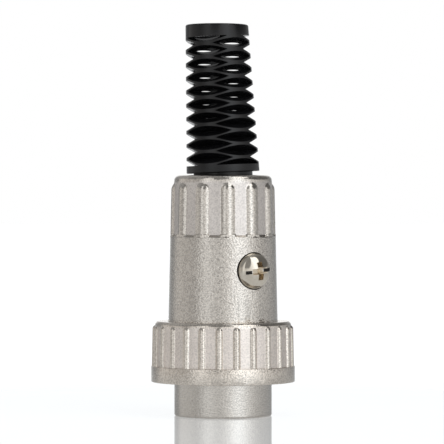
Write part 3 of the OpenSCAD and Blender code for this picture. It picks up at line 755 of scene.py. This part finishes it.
# Studio: a white background, a tall soft light to the right, a lower one to the left, grey sides
# and a small lamp overhead. Each level is (degrees to the right of the camera, brightness, sine of
# the height where it ends, warmth); the ceiling is dimmer in front of the plug and to its right.
studio_levels = [
    (-180, 1, 0.8, 0), (-172, 0.93, 0.8, -0.01), (-166, 0.7, 0.6, -0.01), (-160, 0.406, 0.5, -0.01),
    (-152, 0.296, 0.4, -0.01), (-128, 0.296, 0.3, 0), (-123, 0.655, 0.3, 0.03),
    (-112, 0.63, 0.3, 0.03), (-100, 0.555, 0.3, 0.03), (-78, 0.535, 0.3, 0.03),
    (-64, 0.4, 0.35, 0.03), (-52, 0.624, 0.6, 0.01), (-40, 0.955, 0.8, 0), (-32, 0.975, 0.8, 0),
    (-20, 0.75, 0.25, 0.01), (-8, 0.72, 0.22, 0.01), (4, 0.86, 0.25, 0.01), (16, 1.06, 0.6, 0),
    (28, 1.456, 1.05, -0.02), (37, 1.612, 1.05, -0.03), (48, 1.383, 1.05, -0.02),
    (60, 1.03, 0.6, 0), (76, 0.77, 0.2, 0.01), (96, 0.6, 0.16, 0.01), (116, 0.5, 0.15, 0),
    (136, 0.36, 0.2, -0.01), (148, 0.281, 0.3, -0.02), (158, 0.286, 0.4, -0.02),
    (166, 0.53, 0.5, -0.02), (173, 0.88, 0.6, -0.01), (180, 1, 0.8, 0),
]
SKY_STRENGTH = 2.0
CEILING_FRONT, CEILING_BACK = 0.28, 0.38
LAMP_WAY = Vector((0.5, -0.28, 0.82)).normalized()
LAMP_GREY, BACKDROP_GREY = (0.8, 0.8, 0.8, 1), (0.5, 0.5, 0.5, 1)
world = bpy.data.worlds.new("studio")
world.use_nodes = True
scene.world = world


def mix_colours(share, first, second):
    """Colour of the studio that lies between two others."""
    node = add_node(world, "Mix", data_type="RGBA", Factor=share, A=first, B=second)
    return node.outputs["Result"]


way = add_node(world, "TexCoord").outputs["Generated"]
split = add_node(world, "SeparateXYZ", way).outputs
bearing = calc(world, "ARCTAN2", split["X"], calc(world, "MULTIPLY", split["Y"], -1.0))
levels = add_node(world, "ValToRGB", Fac=spread(world, bearing, -pi, pi))
ramp = levels.color_ramp
for i, (bearing_deg, level, reach, warmth) in enumerate(studio_levels):
    share = (bearing_deg + 180) / 360
    stop = ramp.elements[i] if i < 2 else ramp.elements.new(share)
    stop.position = share
    stop.color = [level * tint / SKY_STRENGTH for tint in (1 + warmth, 1, 1 - warmth)] + [reach]
fade_from = calc(world, "SUBTRACT", levels.outputs["Alpha"], 0.12)
fade_to = calc(world, "ADD", levels.outputs["Alpha"], 0.1)
up = spread(world, split["Z"], fade_from, fade_to, shape="SMOOTHSTEP")
ceiling = spread(world, split["Y"], -0.3, 0.3, CEILING_FRONT / SKY_STRENGTH,
                 CEILING_BACK / SKY_STRENGTH, "SMOOTHSTEP")
beside = spread(world, split["X"], 0.15, 0.65, 1.0, 0.4, "SMOOTHSTEP")
overhead = calc(world, "MULTIPLY", ceiling, beside)
dome = mix_colours(up, levels.outputs["Color"], overhead)
toward_lamp = vector_calc(world, "DOT_PRODUCT", way, LAMP_WAY, result="Value")
lamp = spread(world, toward_lamp, cos(radians(17)), cos(radians(12)), shape="SMOOTHSTEP")
lit = mix_colours(lamp, dome, LAMP_GREY)
behind = spread(world, split["Y"], 0.975, 0.995, shape="SMOOTHSTEP")
ray = add_node(world, "LightPath").outputs
seen_in_gloss = calc(world, "ADD", ray["Is Glossy Ray"], ray["Is Transmission Ray"])
gloss_behind = calc(world, "MULTIPLY", seen_in_gloss, behind)
backdrop = calc(world, "ADD", ray["Is Camera Ray"], gloss_behind, use_clamp=True)
sky = world.node_tree.nodes["Background"]
world.node_tree.links.new(mix_colours(backdrop, lit, BACKDROP_GREY), sky.inputs["Color"])
sky.inputs["Strength"].default_value = SKY_STRENGTH


# Camera: a long lens straight in front of the plug, just above its middle.
# It looks down by less than half a degree, so the upright edges stay upright.
CAMERA_PLACE = (-0.14, -389, 29.2)
CAMERA_TILT = 0.00774
LENS, SENSOR = 232.8, 36
camera = bpy.data.objects.new("camera", bpy.data.cameras.new("camera"))
scene.collection.objects.link(camera)
camera.data.sensor_width = SENSOR
camera.data.lens = LENS
camera.location = [place * MM for place in CAMERA_PLACE]
camera.rotation_euler = (pi / 2 - CAMERA_TILT, 0, 0)
scene.camera = camera
